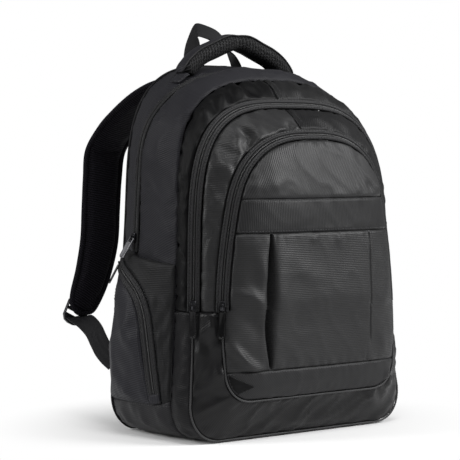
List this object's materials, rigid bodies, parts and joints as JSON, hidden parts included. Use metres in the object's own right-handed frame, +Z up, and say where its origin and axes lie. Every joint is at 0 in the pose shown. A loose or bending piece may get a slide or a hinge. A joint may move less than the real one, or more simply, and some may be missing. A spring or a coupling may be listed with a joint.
{
  "type": "laptop backpack",
  "caption": "Soft laptop backpack with arched zipped compartments, a pleated front pocket, zipped side pockets, padded adjustable shoulder straps, a carry handle and a hang loop.",
  "frame": {"origin": "centre of the flat base, on the floor it stands on", "axes": "+Z up, -Y towards the front pocket, +X to the right seen from the front"},
  "size_m": [0.3808, 0.3458, 0.5099],
  "materials": {
    "twill": "fine twill weave",
    "ribbed": "fine ribbed weave",
    "satin": "satin weave",
    "smooth": "plain weave",
    "mesh": "air mesh over foam",
    "webbing": "woven webbing",
    "zip_tape": "ribbed tape",
    "plastic": "gloss",
    "metal": "dark, satin"
  },
  "bodies": {
    "bag": {"back_panel": "mesh", "laptop_gusset": "smooth", "main_gusset": "smooth", "boot": "ribbed", "mid_gusset_left": "satin", "mid_gusset_right": "twill", "mid_gusset_lower": "satin", "mid_panel_left": "ribbed", "mid_panel_right": "twill", "mid_panel_lower": "satin", "laptop_zip": "zip_tape", "mid_zip": "zip_tape", "front_zip": "zip_tape", "front_dome": "twill", "front_band": "ribbed", "front_pocket": "ribbed", "front_hem": "twill", "front_pocket_back": "smooth", "side_pocket_rear_right": "smooth", "side_pocket_front_right": "ribbed", "side_pocket_zip_right": "zip_tape", "side_pocket_rear_left": "smooth", "side_pocket_front_left": "ribbed", "side_pocket_zip_left": "zip_tape", "grip": "mesh", "hang_loop": "webbing", "grip_end_right": "smooth", "shoulder_strap_right": "mesh", "lock_loop_right": "webbing", "strap_webbing_right": "webbing", "ladder_lock_right": "plastic", "grip_end_left": "smooth", "shoulder_strap_left": "mesh", "lock_loop_left": "webbing", "strap_webbing_left": "webbing", "ladder_lock_left": "plastic", "laptop_slider": "metal", "mid_slider": "metal", "front_slider": "metal", "side_slider_right": "metal", "side_slider_left": "metal"},
    "laptop_pull": {"laptop_pull": "plastic"},
    "mid_pull": {"mid_pull": "plastic"},
    "front_pull": {"front_pull": "plastic"},
    "side_pull_right": {"side_pull_right": "plastic"},
    "side_pull_left": {"side_pull_left": "plastic"}
  },
  "joints": [
    {"name": "laptop_pull_hinge", "type": "hinge", "parent": "bag", "child": "laptop_pull", "pos_m": [-0.16694, 0.04354, 0.24209], "axis": [0.014, 0.9661, 0.2576], "range_deg": [0, 110]},
    {"name": "mid_pull_hinge", "type": "hinge", "parent": "bag", "child": "mid_pull", "pos_m": [-0.1625, -0.0717, 0.16537], "axis": [-0.7074, 0.7068, 0.01], "range_deg": [0, 150]},
    {"name": "front_pull_hinge", "type": "hinge", "parent": "bag", "child": "front_pull", "pos_m": [-0.14133, -0.10134, 0.16525], "axis": [-0.7649, 0.6427, 0.0437], "range_deg": [0, 150]},
    {"name": "side_pull_right_hinge", "type": "hinge", "parent": "bag", "child": "side_pull_right", "pos_m": [0.15966, 0.07919, 0.21008], "axis": [0.4104, -0.7511, 0.517], "range_deg": [0, 110]},
    {"name": "side_pull_left_hinge", "type": "hinge", "parent": "bag", "child": "side_pull_left", "pos_m": [-0.15966, 0.07919, 0.21008], "axis": [0.4104, 0.7511, -0.517], "range_deg": [0, 110]}
  ]
}
